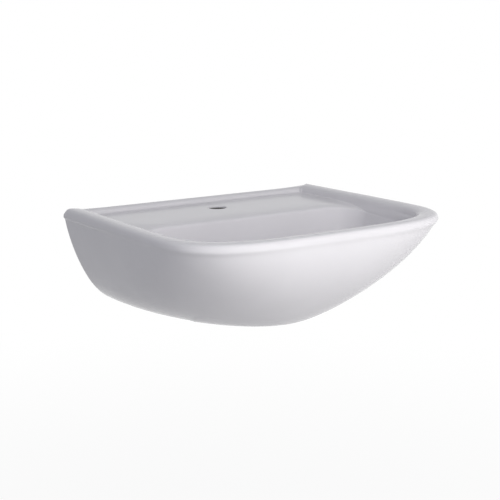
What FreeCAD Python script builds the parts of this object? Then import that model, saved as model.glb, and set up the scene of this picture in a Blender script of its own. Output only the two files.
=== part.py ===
import FreeCAD, Part
import math
import os

V = FreeCAD.Vector

# Wall hung basin. Origin midway between the two wall studs, on the wall plane.
# +X runs along the wall, +Y into the wall, +Z up. Lengths are millimetres.
# A "drop" is a depth below the crest of the rim, an "inset" is a plan distance
# in from the widest outline, and a "reach" is a distance out from the wall.

# Overall sizes of the ceramic
basin_width = 560.0
basin_reach = 470.0
foot_below_outlet = 24.0
crest_above_studs = 80.0

# Outer shell: how far the sides and the front draw in by the underside
side_draw_in = 104.0
front_draw_in = 145.0
widest_drop = 12.0
wall_narrowing = 3.0
straight_side = 290.0
rim_plan_power = 3.55
foot_plan_power = 2.06
side_curve = (1.35, 1.75)
front_curve_in = (1.89, 1.15)

# Rim and the low ridge along the wall
rim_width = 35.0
crest_inset = 11.0
ridge_drop = 6.0
ridge_thickness = 24.0
corner_radius = 12.0
under_rim_step = 2.0

# Deck that carries the tap
deck_drop = 14.4
deck_thickness = 11.0
deck_reach = 190.0
tap_reach = 86.0
tap_hole_radius = 17.5

# Bowl
bowl_depth = 132.0
bowl_corner_radius = 56.0
bowl_lean = 4.0
waste_reach = 262.0
dish_radius = 34.0
dish_depth = 3.0
seat_radius = 32.0
waste_bore_radius = 23.0

# Outer shell's rings, as shares of its height from the widest line down to the foot
shell_depths = (1.0, 0.99, 0.95, 0.88, 0.78, 0.66, 0.53, 0.40, 0.28, 0.17, 0.09, 0.045)

# Ceramic thickness
shell_thickness = 8.5
bowl_thickness = 9.0
back_wall_thickness = 14.0
foot_thickness = 12.0
cavity_drop = 51.0
outlet_thickness = 28.0
outlet_boss_radius = 44.0

# Overflow passage inside the front of the bowl
overflow_drop = 44.0
overflow_hole_radius = 11.0
overflow_wall = 8.0
overflow_gap = 8.0
overflow_width = 32.0
overflow_outer_wall = 11.0
overflow_outlet_height = 11.0
passage_below_seat = 8.0

# Opening in the back for the trap's pipe
window_width = 150.0
window_height = 78.0
window_corner = 18.0

# Wall fixings
stud_spacing = 280.0
stud_radius = 5.0
stud_thread_radius = 4.8
stud_in_wall = 60.0
stud_past_nut = 10.0
stud_point = 8.0
stud_tip_radius = 1.0
fixing_hole_radius = 9.5
bush_flange_radius = 15.0
bush_flange = 3.0
bush_from_wall = 1.0
washer_radius = 12.0
washer_thickness = 2.0
nut_across_flats = 17.0
nut_thickness = 8.0
cover_wall = 2.0
cover_room = 3.0
cover_edge = 2.5

# Waste
flange_radius = 30.5
flange_thickness = 3.0
flange_edge = 1.0
flange_seal_thickness = 1.5
tail_radius = 20.95
tail_length = 14.0
tube_radius = 20.6
tube_wall = 2.0
tube_length = 62.0
slot_width = 12.0
plug_seat_radius = 24.5
plug_seat_depth = 2.0
cone_washer_radius = 33.0
cone_washer_thickness = 5.0
friction_washer_radius = 31.0
friction_washer_thickness = 1.6
backnut_across_flats = 54.0
backnut_thickness = 9.0
bridge_drop = 36.0
bridge_thickness = 3.0
bridge_arm = 4.0
bridge_hub_radius = 8.5

# Press-to-close plug
plug_radius = 30.5
plug_thickness = 5.0
plug_dome = 2.2
plug_seal_thickness = 2.6
seal_room = 0.5
plug_edge = 1.2
plug_spigot_radius = 16.5
plug_spigot = 4.0
plug_travel = 9.0
stem_radius = 3.5
stem_grip = 6.0
stem_tip_radius = 1.925
clicker_radius = 8.0
clicker_wall = 1.6
clicker_top = 2.5
clicker_floor = 1.2
cam_thickness = 4.0
notch_width = 1.6
notch_depth = 1.4
spring_wire_radius = 0.45
spring_turns = 6.0
spring_closed_height = 15.0
spring_side_room = 1.15

# Fits
running_fit = 0.05
loose_fit = 0.3
seat_gap = 0.02
beyond_wall = 30.0
past_faces = 10.0

# Points of the ceramic's skin: how many lie on each stretch of half a ring
rear_points = 6
turn_points = 3
deck_points = 6
front_points = 15

# Flat faces where the casting's solid is divided, so that its collision stays open
side_cut = 60.0
front_cut_reach = 290.0
rear_cut_behind_bowl = 20.0

# Derived places
basin_height = bowl_depth + dish_depth + outlet_thickness + foot_below_outlet
crest_z = crest_above_studs
foot_z = crest_z - basin_height
waste_centre = V(0, -waste_reach, 0)
tap_centre = V(0, -tap_reach, 0)
seat_z = crest_z - bowl_depth - dish_depth
outlet_z = seat_z - outlet_thickness
flange_top = seat_z + flange_seal_thickness + flange_thickness


def ring_upwards(z, centre, outer, inner, height):
    ring = Part.makeCylinder(outer, height, centre + V(0, 0, z))
    return ring.cut(Part.makeCylinder(inner, height, centre + V(0, 0, z)))


def rod(start, direction, radius, length):
    return Part.makeCylinder(radius, length, start, direction)


def mix(a, b, share):
    return a + (b - a) * share


def ease(share):
    share = max(0.0, min(1.0, share))
    return share * share * (3 - 2 * share)


# ---- plan outlines of the ceramic ----

def front_curve(half_width, reach, straight, power, steps=160):
    # side and front of an outline, from the wall to the middle of the front
    points = []
    for i in range(steps + 1):
        turn = math.pi / 2 * i / steps
        c, s = math.cos(turn), math.sin(turn)
        size = (c ** power + s ** power) ** (-1 / power)
        points.append((half_width * c * size, -straight - (reach - straight) * s * size))
    return points


def spread(points, count):
    # count points at even distances along a polyline, without its first one
    lengths = [0.0]
    for a, b in zip(points, points[1:]):
        lengths.append(lengths[-1] + math.dist(a, b))
    chosen, k = [], 0
    for i in range(1, count + 1):
        wanted = lengths[-1] * i / count
        while k < len(points) - 2 and lengths[k + 1] < wanted:
            k += 1
        share = (wanted - lengths[k]) / (lengths[k + 1] - lengths[k])
        (x0, y0), (x1, y1) = points[k], points[k + 1]
        chosen.append((mix(x0, x1, share), mix(y0, y1, share)))
    return chosen


def side_at(curve, y):
    # half width of an outline where it passes y
    for (x0, y0), (x1, y1) in zip(curve, curve[1:]):
        if y1 <= y <= y0:
            return mix(x0, x1, (y - y0) / (y1 - y0))
    return curve[0][0]


def arc(cx, cy, radius, count):
    # quarter turn from facing the wall to facing sideways, ends left out
    angles = [math.pi / 2 * (1 - (i + 0.5) / count) for i in range(count)]
    return [(cx + radius * math.cos(a), cy + radius * math.sin(a)) for a in angles]


def shell_ring(half_width, reach, straight, power, rear_y, corner):
    # half outline that runs back to rear_y beside the deck
    curve = front_curve(half_width, reach, straight, power)
    width_here = side_at(curve, min(rear_y, 0.0))
    narrowed = width_here - wall_narrowing * straight / straight_side
    flat = narrowed - corner
    half = [(flat * i / rear_points, rear_y) for i in range(rear_points)]
    half += arc(flat, rear_y - corner, corner, turn_points)
    start = min(rear_y, 0.0) - corner
    for i in range(deck_points):
        y = mix(start, -deck_reach, i / deck_points)
        narrowing = wall_narrowing * max(0.0, 1 + y / straight_side) * straight / straight_side
        half.append((side_at(curve, y) - narrowing, y))
    front = [(side_at(curve, -deck_reach), -deck_reach)] + [p for p in curve if p[1] < -deck_reach]
    return half + front[:1] + spread(front, front_points)


def bowl_ring(half_width, reach, straight, power, rear_y, corner):
    # half outline that crosses behind the bowl
    curve = front_curve(half_width, reach, straight, power)
    side = side_at(curve, rear_y - corner)
    behind = rear_points + deck_points
    half = [((side - corner) * i / behind, rear_y) for i in range(behind)]
    half += arc(side - corner, rear_y - corner, corner, turn_points)
    front = [(side, rear_y - corner)] + [p for p in curve if p[1] < rear_y - corner]
    return half + front[:1] + spread(front, front_points)


def closed(half):
    return half + [(-x, y) for x, y in half[-2:0:-1]]


def rearness(i):
    # 1 along the wall and beside the deck, 0 along the front
    last = rear_points + turn_points + deck_points + front_points
    i = min(i, 2 * last - i)
    return 1 - ease((i - rear_points - deck_points + 1.0) / (turn_points + 2.0))


def wallness(i):
    # 1 along the wall, 0 past its corners
    last = rear_points + turn_points + deck_points + front_points
    i = min(i, 2 * last - i)
    return 1 - ease((i - rear_points + 1.5) / (turn_points + 1.0))


def level(half, drop, rear_drop=None, share=rearness):
    rear_drop = drop if rear_drop is None else rear_drop
    return [V(x, y, crest_z - mix(drop, rear_drop, share(i))) for i, (x, y) in enumerate(closed(half))]


# ---- ceramic skins ----

def passed_through(ring):
    # poles moved out so that the skin passes through the ring's points
    n = len(ring)
    return [ring[i] * (4 / 3) - (ring[i - 1] + ring[(i + 1) % n]) * (1 / 6) for i in range(n)]


def skin(rings):
    # solid inside one smooth surface through closed rings, capped flat at both ends
    around, along = len(rings[0]), len(rings)
    poles = [list(column) for column in zip(*[passed_through(r) for r in rings])]
    surface = Part.BSplineSurface()
    surface.buildFromPolesMultsKnots(
        poles, [1] * (around + 1), [4] + [1] * (along - 4) + [4],
        [float(k) for k in range(around + 1)], [float(k) for k in range(along - 2)], True, False, 3, 3)
    low, high = 0.0, float(along - 3)
    caps = [Part.Face(Part.Wire(surface.vIso(v).toShape())) for v in (low, high)]
    shell = Part.makeShell([surface.toShape()] + caps)
    shell.sewShape()
    solid = Part.makeSolid(Part.Shell(shell.Faces))
    if solid.Volume < 0:
        solid.reverse()
    return solid


def shell_outline(depth, thickness, rear_y, corner):
    # outline of the outer shell, depth 0 at its widest and 1 at the foot
    side = side_draw_in * (1 - (1 - depth ** side_curve[0]) ** (1 / side_curve[1]))
    front = front_draw_in * (1 - (1 - depth ** front_curve_in[0]) ** (1 / front_curve_in[1]))
    power = mix(rim_plan_power, foot_plan_power, depth)
    straight = straight_side * (1 - depth)
    half_width = basin_width / 2 - side - thickness
    return shell_ring(half_width, basin_reach - front - thickness, straight, power, rear_y, corner)


def rim_outline(inset, rear_y, corner):
    half_width = basin_width / 2 - inset
    return shell_ring(half_width, basin_reach - inset, straight_side, rim_plan_power, rear_y, corner)


def bowl_edge(inset, rear_y, corner):
    half_width = basin_width / 2 - inset
    return bowl_ring(half_width, basin_reach - inset, straight_side, rim_plan_power, rear_y, corner)


def shell_drop(depth):
    return widest_drop + (basin_height - widest_drop) * depth


def outer_rings():
    rings = []
    for depth in shell_depths:
        step = under_rim_step * ease((1 - depth) / 0.3)
        half = shell_outline(depth, step, beyond_wall, corner_radius)
        rings.append(level(half, shell_drop(depth)))
    return rings


def rim_rings():
    # over the rim from the outside to the deck: inset, drop, reach at the wall, drop at the wall
    inner = rim_width
    ridge = ridge_thickness
    section = [
        (0.0, 14.5, -beyond_wall, ridge_drop + 13),
        (0.0, 9.5, -8.0, ridge_drop + 8),
        (0.8, 4.2, 0.5, ridge_drop + 4.2),
        (0.45 * crest_inset, 0.5, 0.22 * ridge, ridge_drop - 0.3),
        (crest_inset, -0.3, 0.5 * ridge, ridge_drop - 0.8),
        (mix(crest_inset, inner, 0.40), 0.6, 0.75 * ridge, ridge_drop + 0.9),
        (mix(crest_inset, inner, 0.68), 2.4, 0.95 * ridge, ridge_drop + 3.6),
        (mix(crest_inset, inner, 0.88), 5.2, 1.10 * ridge, ridge_drop + 6.6),
        (inner - 0.4, 10.0, 1.25 * ridge, deck_drop - 0.3),
        (inner + 0.6, 14.0, 1.45 * ridge, deck_drop),
    ]
    rings = []
    for inset, drop, reach, rear_drop in section:
        corner = max(corner_radius - 0.35 * inset, 8.0)
        half = rim_outline(inset, -reach, corner)
        rings.append(level(half, drop, rear_drop, wallness if drop < 9 else rearness))
    return rings


def deck_rings(start, end, drops, rear_drop):
    # flat at the back, running on down the wall of the bowl at the sides and the front
    rings = []
    for i, drop in enumerate(drops):
        share = (i + 0.5) / len(drops)
        half = [(mix(a[0], b[0], share), mix(a[1], b[1], share)) for a, b in zip(start, end)]
        rings.append(level(half, drop, rear_drop))
    return rings


def dish_circle(edge, radius):
    # circle round the waste, one point for each point of the bowl's edge
    points = []
    for x, y in edge:
        turn = math.atan2(y + waste_reach, x)
        points.append((radius * math.cos(turn), radius * math.sin(turn) - waste_reach))
    return points


bowl_section = [
    # share of the way out from the dish at the back and at the front, depth at the back and at the front
    (1.00, 0.990, 0.075, 0.200),
    (0.985, 0.955, 0.190, 0.290),
    (0.965, 0.905, 0.340, 0.400),
    (0.930, 0.835, 0.500, 0.530),
    (0.870, 0.735, 0.650, 0.665),
    (0.770, 0.615, 0.785, 0.790),
    (0.610, 0.480, 0.885, 0.885),
    (0.420, 0.345, 0.945, 0.945),
    (0.220, 0.190, 0.980, 0.980),
    (0.070, 0.060, 0.997, 0.997),
]


def bowl_rings(edge):
    # wall and floor of the bowl, steep at the back and sloping at the front
    circle = dish_circle(edge, dish_radius)
    run = basin_reach - rim_width - deck_reach
    front = [ease((-y - deck_reach) / run) for x, y in edge]
    rings = []
    for rear_out, front_out, rear_depth, front_depth in bowl_section:
        half = []
        for f, a, b in zip(front, circle, edge):
            out = mix(rear_out, front_out, f)
            half.append((mix(a[0], b[0], out), mix(a[1], b[1], out)))
        drops = [mix(deck_drop, bowl_depth, mix(rear_depth, front_depth, f)) for f in front]
        drops += drops[-2:0:-1]
        rings.append([V(x, y, crest_z - drop) for (x, y), drop in zip(closed(half), drops)])
    return rings


def moved_in(rings, thickness):
    # rings moved into the ceramic, square to the skin; the first and the last are left out
    moved = []
    for before, ring, after in zip(rings, rings[1:], rings[2:]):
        row = []
        for i, point in enumerate(ring):
            around = ring[(i + 1) % len(ring)] - ring[i - 1]
            square = around.cross(after[i] - before[i])
            square.normalize()
            row.append(point + square * thickness)
        moved.append(row)
    return moved


def bowl_top():
    return bowl_edge(rim_width + 1.0 + bowl_lean, -deck_reach, bowl_corner_radius)


def glazed_skin():
    # outside, rim, deck and bowl as one surface
    edge = bowl_top()
    start = rim_outline(rim_width + 1.0, -1.6 * ridge_thickness, 14.0)
    end = bowl_edge(rim_width + 1.0 + bowl_lean, 3 - deck_reach, bowl_corner_radius)
    rings = outer_rings() + rim_rings()
    rings += deck_rings(start, end, (16.0, 18.5, 21.0, 24.0), deck_drop)
    rings.append(level(edge, 28.0, deck_drop + 0.8))
    rings += bowl_rings(edge)
    for radius, drop in ((dish_radius, 0.3), (dish_radius - 0.6, 0.5 * dish_depth),
                         (seat_radius, dish_depth), (seat_radius - 2, dish_depth)):
        rings.append(level(dish_circle(edge, radius), bowl_depth + drop))
    return skin(rings)


def cavity():
    # hollow under the basin: inside of the shell, under the deck, round the bowl
    rings = []
    for share, rise in ((1.0, -20.0), (1.0, -8.0), (1.0, 3.0), (0.5, 9.0)):
        half = shell_outline(1.0, share * foot_thickness, beyond_wall, corner_radius)
        rings.append(level(half, basin_height - rise))
    rings += moved_in(outer_rings()[1:-1], shell_thickness)[1:-1]
    under = deck_drop + deck_thickness
    turn = shell_outline(0.22, shell_thickness + 3, beyond_wall - 4, corner_radius)
    rings.append(level(turn, cavity_drop + 3, under + 4))
    start = shell_outline(0.22, shell_thickness + 5, -back_wall_thickness, corner_radius)
    behind_bowl = bowl_thickness + 8 - deck_reach
    end = bowl_edge(rim_width - bowl_thickness, behind_bowl, bowl_corner_radius + bowl_thickness)
    rings += deck_rings(start, end, (cavity_drop, cavity_drop - 1, cavity_drop - 1, cavity_drop), under)
    edge = bowl_top()
    bowl = bowl_rings(edge)
    rings += moved_in(bowl[:-1], bowl_thickness)[:-1]
    outlet = dish_depth + outlet_thickness
    for wider, drop in ((2, 0.5 * outlet), (0.5, 0.7 * outlet), (0, outlet - 1.5), (-2, outlet), (-6, outlet)):
        rings.append(level(dish_circle(edge, outlet_boss_radius + wider), bowl_depth + drop))
    return skin(rings).cut(cell(-basin_width, basin_width, -back_wall_thickness, 4 * beyond_wall))


def cell(low_x, high_x, low_y, high_y):
    # tall box between two pairs of upright planes
    start = V(low_x, low_y, foot_z - 0.5 * basin_height)
    return Part.makeBox(high_x - low_x, high_y - low_y, 2 * basin_height, start)


def front_section():
    # bowl's front wall in the middle, as points of reach and height
    front = basin_reach - rim_width - 1.0 - bowl_lean
    points = []
    for rear_out, front_out, rear_depth, front_depth in bowl_section[:8]:
        reach = waste_reach + dish_radius + (front - waste_reach - dish_radius) * front_out
        points.append((reach, crest_z - mix(deck_drop, bowl_depth, front_depth)))
    return points


def band(near, far, top_z, end_reach, end_top, end_bottom, width):
    # solid between two offsets of the bowl's front wall, ending level beside the waste
    wall = front_section()
    edges = []
    for gap, end_z in ((near, end_top), (far, end_bottom)):
        line = []
        for i, (reach, z) in enumerate(wall):
            a, b = wall[max(i - 1, 0)], wall[min(i + 1, len(wall) - 1)]
            span = math.dist(a, b)
            out, up = (a[1] - b[1]) / span, -(a[0] - b[0]) / span
            line.append(V(-width / 2, -(reach + gap * out), z + gap * up))
        rise = (top_z - line[0].z) / (line[0].z - line[1].z)
        line.insert(0, V(line[0].x, line[0].y + (line[0].y - line[1].y) * rise, top_z))
        line.append(V(-width / 2, -end_reach, end_z))
        curve = Part.BSplineCurve()
        curve.interpolate(line)
        edges.append(curve.toShape())
    first, second = edges
    top = Part.makeLine(first.Vertexes[0].Point, second.Vertexes[0].Point)
    end = Part.makeLine(first.Vertexes[-1].Point, second.Vertexes[-1].Point)
    face = Part.Face(Part.Wire(Part.__sortEdges__([first, end, second, top])))
    return face.extrude(V(width, 0, 0))


def window():
    width, height, corner = window_width, window_height, window_corner
    depth = back_wall_thickness + 2 * past_faces
    start = V(-width / 2, -back_wall_thickness - past_faces, foot_z - corner)
    box = Part.makeBox(width, depth, height + corner, start)
    edges = [e for e in box.Edges if abs(e.Curve.Direction.y) > 0.9 and e.CenterOfMass.z > foot_z]
    return box.makeFillet(corner, edges)


def basin_body():
    body = glazed_skin()
    body = body.cut(cell(-basin_width, basin_width, 0, 4 * beyond_wall))
    body = body.cut(cavity())
    across_passage = overflow_wall + overflow_gap
    duct_width = overflow_width + 2 * overflow_wall
    duct_top = crest_z - overflow_drop + overflow_hole_radius + 3
    body = body.fuse(band(0.5 * overflow_wall, across_passage + overflow_outer_wall, duct_top,
                          waste_reach + 30, seat_z - 6, outlet_z + 3, duct_width))
    passage_top = seat_z - passage_below_seat
    body = body.cut(band(overflow_wall, across_passage, duct_top - 2, waste_reach,
                         passage_top, passage_top - overflow_outlet_height, overflow_width))
    wall_reach = front_section()[1][0]
    hole_start = V(0, -wall_reach + 3 * past_faces, crest_z - overflow_drop)
    hole_length = 3 * past_faces + overflow_wall + 0.5 * overflow_gap
    body = body.cut(rod(hole_start, V(0, -1, 0), overflow_hole_radius, hole_length))
    upwards = V(0, 0, 1)
    outlet_start = waste_centre + upwards * (outlet_z - past_faces)
    body = body.cut(rod(outlet_start, upwards, waste_bore_radius, outlet_thickness + 2 * past_faces))
    tap_start = tap_centre + upwards * (crest_z - deck_drop - deck_thickness - past_faces)
    body = body.cut(rod(tap_start, upwards, tap_hole_radius, deck_thickness + 2 * past_faces))
    body = body.cut(window())
    for side in (-1, 1):
        start = V(side * stud_spacing / 2, past_faces, 0)
        hole = rod(start, V(0, -1, 0), fixing_hole_radius, back_wall_thickness + 2 * past_faces)
        body = body.cut(hole)
    return divided(body)


def divided(body):
    # one casting, as solids that meet face to face at upright planes clear of its holes
    wide = basin_width
    back = body.common(cell(-wide, wide, -back_wall_thickness, past_faces))
    rest = body.cut(cell(-wide, wide, -back_wall_thickness, past_faces))
    columns = [-basin_reach - wide, -front_cut_reach, -deck_reach + rear_cut_behind_bowl, past_faces]
    rows = [-wide, -side_cut, side_cut, wide]
    solids = back.Solids
    for low_x, high_x in zip(rows, rows[1:]):
        strip = rest.common(cell(low_x, high_x, columns[0], columns[-1]))
        for low_y, high_y in zip(columns, columns[1:]):
            solids += strip.common(cell(low_x, high_x, low_y, high_y)).Solids
    return Part.makeCompound(solids)


# ---- waste ----

def waste_body():
    inside = tube_radius - tube_wall
    under_flange = flange_top - flange_thickness
    flange = ring_upwards(under_flange, waste_centre, flange_radius, inside, flange_thickness)
    outer = [e for e in flange.Edges
             if e.BoundBox.ZMin > flange_top - 0.01 and e.BoundBox.XMax > flange_radius - 0.01]
    flange = flange.makeFillet(flange_edge, outer)
    seat_floor = waste_centre + V(0, 0, flange_top - plug_seat_depth)
    seat = Part.makeCylinder(plug_seat_radius, plug_seat_depth, seat_floor)
    bottom = seat_z - tube_length
    tube_top = under_flange + 0.5 * flange_thickness
    tube = ring_upwards(bottom, waste_centre, tube_radius, inside, tube_top - bottom)
    tail = ring_upwards(bottom, waste_centre, tail_radius, inside, tail_length)
    body = flange.fuse([tube, tail]).cut(seat)
    slot_top = seat_z - passage_below_seat
    for turn in (0, 90):
        slot = Part.makeBox(slot_width, 3 * tube_radius, overflow_outlet_height,
                            V(-slot_width / 2, -1.5 * tube_radius, slot_top - overflow_outlet_height))
        slot.rotate(V(0, 0, 0), V(0, 0, 1), turn)
        slot.translate(waste_centre)
        body = body.cut(slot)
    bridge_z = flange_top - bridge_drop
    under_bridge = waste_centre + V(0, 0, bridge_z - bridge_thickness)
    hub = Part.makeCylinder(bridge_hub_radius, bridge_thickness, under_bridge)
    for turn in (45, 165, 285):
        start = V(0, -bridge_arm / 2, bridge_z - bridge_thickness)
        arm = Part.makeBox(tube_radius - 0.5 * tube_wall, bridge_arm, bridge_thickness, start)
        arm.rotate(V(0, 0, 0), V(0, 0, 1), turn)
        arm.translate(waste_centre)
        hub = hub.fuse(arm)
    return body.fuse(hub).removeSplitter()


def flange_seal():
    inside = tube_radius + loose_fit
    return ring_upwards(seat_z, waste_centre, flange_radius - 1.0, inside, flange_seal_thickness)


def cone_washer():
    top = outlet_z
    lower = top - cone_washer_thickness
    start = waste_centre + V(0, 0, lower)
    narrow = cone_washer_radius - cone_washer_thickness
    cone = Part.makeCone(cone_washer_radius, narrow, cone_washer_thickness, start)
    return cone.cut(Part.makeCylinder(tube_radius + running_fit, cone_washer_thickness, start))


def friction_washer():
    lower = outlet_z - cone_washer_thickness - friction_washer_thickness
    inside = tube_radius + loose_fit
    return ring_upwards(lower, waste_centre, friction_washer_radius, inside, friction_washer_thickness)


def hexagon(across_flats, thickness, bore):
    radius = across_flats / math.sqrt(3)
    turns = [math.pi / 3 * i for i in range(7)]
    corners = [V(radius * math.cos(t), radius * math.sin(t), 0) for t in turns]
    block = Part.Face(Part.makePolygon(corners)).extrude(V(0, 0, thickness))
    low = 0.25 * thickness
    bevel = Part.makeCone(radius + 0.4 * thickness, 0.46 * across_flats, thickness - low, V(0, 0, low))
    drum = Part.makeCylinder(radius + 1, low).fuse(bevel)
    return block.common(drum).cut(Part.makeCylinder(bore, thickness))


def backnut():
    nut = hexagon(backnut_across_flats, backnut_thickness, tube_radius + running_fit)
    nut.rotate(V(0, 0, 0), V(1, 0, 0), 180)
    nut.translate(waste_centre + V(0, 0, outlet_z - cone_washer_thickness - friction_washer_thickness))
    return nut


# ---- plug ----

plug_under = flange_top - plug_seat_depth + plug_seal_thickness
stem_end = flange_top - bridge_drop + spring_closed_height + cam_thickness


def plug_cap():
    disc = Part.makeCylinder(plug_radius, plug_thickness, waste_centre + V(0, 0, plug_under))
    ball_radius = (plug_radius ** 2 + plug_dome ** 2) / (2 * plug_dome)
    top = plug_under + plug_thickness
    ball_centre = waste_centre + V(0, 0, top - ball_radius)
    ball = Part.makeSphere(ball_radius, ball_centre, V(0, 0, 1), 60, 90, 360)
    disc = disc.common(ball)
    top_edges = [e for e in disc.Edges if len(e.Vertexes) == 1
                 and e.BoundBox.ZMin > plug_under + 0.5 and e.BoundBox.XMax > plug_radius - 0.5]
    disc = disc.makeFillet(plug_edge, top_edges)
    spigot_end = waste_centre + V(0, 0, plug_under - plug_spigot)
    spigot = Part.makeCylinder(plug_spigot_radius, plug_spigot + 1, spigot_end)
    cap = disc.fuse(spigot)
    socket = Part.makeCylinder(stem_radius + running_fit, stem_grip + loose_fit, spigot_end)
    return cap.cut(socket)


def plug_seal():
    lower = plug_under - plug_seal_thickness
    inside = plug_spigot_radius + running_fit
    return ring_upwards(lower, waste_centre, plug_seat_radius - seal_room, inside, plug_seal_thickness)


def plug_stem():
    top = plug_under - plug_spigot + stem_grip
    stem = Part.makeCylinder(stem_radius, top - stem_end, waste_centre + V(0, 0, stem_end))
    tip_end = waste_centre + V(0, 0, stem_end - cam_thickness)
    tip = Part.makeCylinder(stem_tip_radius, cam_thickness, tip_end)
    return stem.fuse(tip)


def clicker_cam():
    low = stem_end - cam_thickness
    outside = clicker_radius - clicker_wall - loose_fit
    cam = ring_upwards(low, waste_centre, outside, stem_tip_radius + running_fit, cam_thickness)
    for turn in range(0, 360, 90):
        start = V(outside - notch_depth, -notch_width / 2, 0)
        notch = Part.makeBox(clicker_radius, notch_width, notch_depth, start)
        notch.rotate(V(0, 0, 0), V(0, 0, 1), turn)
        notch.translate(waste_centre + V(0, 0, low + cam_thickness - notch_depth))
        cam = cam.cut(notch)
    return cam


def clicker_body():
    low = flange_top - bridge_drop
    height = spring_closed_height + plug_travel + cam_thickness + loose_fit + clicker_top
    body = Part.makeCylinder(clicker_radius, height, waste_centre + V(0, 0, low))
    floor = waste_centre + V(0, 0, low + clicker_floor)
    room = Part.makeCylinder(clicker_radius - clicker_wall, height - clicker_top - clicker_floor, floor)
    above = waste_centre + V(0, 0, low + height - 2 * clicker_top)
    hole = Part.makeCylinder(stem_radius + running_fit, 3 * clicker_top, above)
    return body.cut(room).cut(hole)


def clicker_spring():
    low = flange_top - bridge_drop + clicker_floor + spring_wire_radius + seat_gap
    high = stem_end - cam_thickness - spring_wire_radius - seat_gap
    radius = clicker_radius - clicker_wall - spring_side_room - spring_wire_radius
    helix = Part.makeHelix((high - low) / spring_turns, high - low, radius)
    circle = Part.Wire(Part.makeCircle(spring_wire_radius, V(radius, 0, 0), V(0, 1, 0)))
    spring = Part.Wire(helix.Edges).makePipeShell([circle], True, True)
    spring.translate(waste_centre + V(0, 0, low))
    return spring


# ---- wall fixings ----

def bush(x):
    hole = V(x, 0, 0)
    sleeve_start = hole + V(0, -bush_from_wall, 0)
    sleeve_length = back_wall_thickness - bush_from_wall
    sleeve = rod(sleeve_start, V(0, -1, 0), fixing_hole_radius - loose_fit, sleeve_length)
    flange = rod(hole + V(0, -back_wall_thickness, 0), V(0, -1, 0), bush_flange_radius, bush_flange)
    bore_length = back_wall_thickness + bush_flange + 2 * past_faces
    bore = rod(hole + V(0, past_faces, 0), V(0, -1, 0), stud_radius + loose_fit, bore_length)
    return sleeve.fuse(flange).cut(bore).removeSplitter()


def washer(x):
    start = V(x, -back_wall_thickness - bush_flange, 0)
    disc = rod(start, V(0, -1, 0), washer_radius, washer_thickness)
    return disc.cut(rod(start, V(0, -1, 0), stud_radius + loose_fit, washer_thickness))


nut_face = back_wall_thickness + bush_flange + washer_thickness
stud_inside = nut_face + nut_thickness + stud_past_nut


def nut(x):
    block = hexagon(nut_across_flats, nut_thickness, stud_thread_radius + running_fit)
    block.rotate(V(0, 0, 0), V(1, 0, 0), 90)
    block.translate(V(x, -nut_face, 0))
    return block


def stud(x):
    outer = rod(V(x, 0, 0), V(0, 1, 0), stud_radius, stud_in_wall - stud_point)
    shoulder = V(x, stud_in_wall - stud_point, 0)
    point = Part.makeCone(stud_radius, stud_tip_radius, stud_point, shoulder, V(0, 1, 0))
    inner = rod(V(x, -stud_inside, 0), V(0, 1, 0), stud_thread_radius, stud_inside)
    return outer.fuse([point, inner])


def cover(x):
    inside = stud_inside + cover_room
    radius = bush_flange_radius + running_fit + cover_wall
    start = V(x, -back_wall_thickness - seat_gap, 0)
    length = inside - back_wall_thickness + cover_wall
    cup = rod(start, V(0, -1, 0), radius, length)
    end = [e for e in cup.Edges if e.BoundBox.YMax < -inside - 0.5 * cover_wall and len(e.Vertexes) == 1]
    cup = cup.makeFillet(cover_edge, end)
    return cup.cut(rod(start, V(0, -1, 0), radius - cover_wall, length - cover_wall))


def build():
    pieces = {
        "basin_body": basin_body(),
        "waste_body": waste_body(),
        "flange_seal": flange_seal(),
        "cone_washer": cone_washer(),
        "friction_washer": friction_washer(),
        "backnut": backnut(),
        "plug_cap": plug_cap(),
        "plug_seal": plug_seal(),
        "plug_stem": plug_stem(),
        "clicker_cam": clicker_cam(),
        "clicker_body": clicker_body(),
        "clicker_spring": clicker_spring(),
    }
    for name, side in (("left", -1), ("right", 1)):
        x = side * stud_spacing / 2
        pieces["stud_" + name] = stud(x)
        pieces["bush_" + name] = bush(x)
        pieces["washer_" + name] = washer(x)
        pieces["nut_" + name] = nut(x)
        pieces["cover_" + name] = cover(x)
    return pieces


os.makedirs("parts", exist_ok=True)
for name, shape in build().items():
    box = shape.BoundBox
    print(name, "valid", shape.isValid(), "solids", len(shape.Solids), "volume", round(shape.Volume),
          "x", round(box.XMin, 1), round(box.XMax, 1), "y", round(box.YMin, 1), round(box.YMax, 1),
          "z", round(box.ZMin, 1), round(box.ZMax, 1))
    shape.exportStep("parts/" + name + ".step")
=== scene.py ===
import math
import bmesh
import bpy
import numpy as np
from mathutils import Matrix, Vector


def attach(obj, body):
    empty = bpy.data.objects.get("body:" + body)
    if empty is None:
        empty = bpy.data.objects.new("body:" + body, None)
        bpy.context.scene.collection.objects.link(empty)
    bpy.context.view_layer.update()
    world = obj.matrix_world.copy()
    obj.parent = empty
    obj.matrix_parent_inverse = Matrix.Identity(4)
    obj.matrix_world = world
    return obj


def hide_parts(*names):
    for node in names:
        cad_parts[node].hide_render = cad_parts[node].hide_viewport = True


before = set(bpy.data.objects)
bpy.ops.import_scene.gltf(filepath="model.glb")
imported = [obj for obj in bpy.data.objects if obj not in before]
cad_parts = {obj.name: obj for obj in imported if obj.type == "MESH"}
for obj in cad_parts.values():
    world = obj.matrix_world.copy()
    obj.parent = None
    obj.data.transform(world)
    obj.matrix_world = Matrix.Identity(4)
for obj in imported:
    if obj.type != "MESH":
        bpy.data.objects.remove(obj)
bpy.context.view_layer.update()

scene = bpy.context.scene
print("frame loaded:", len(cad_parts), "nodes")

# Lengths below are millimetres, as on a drawing; a mesh gets metres when it is made.
mm = 0.001
softAngle = 35  # degrees; faces that turn by more than this meet at a sharp edge


def mix(a, b, share):
    # straight run from a at share 0 to b at share 1
    return a + (b - a) * share


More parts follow.
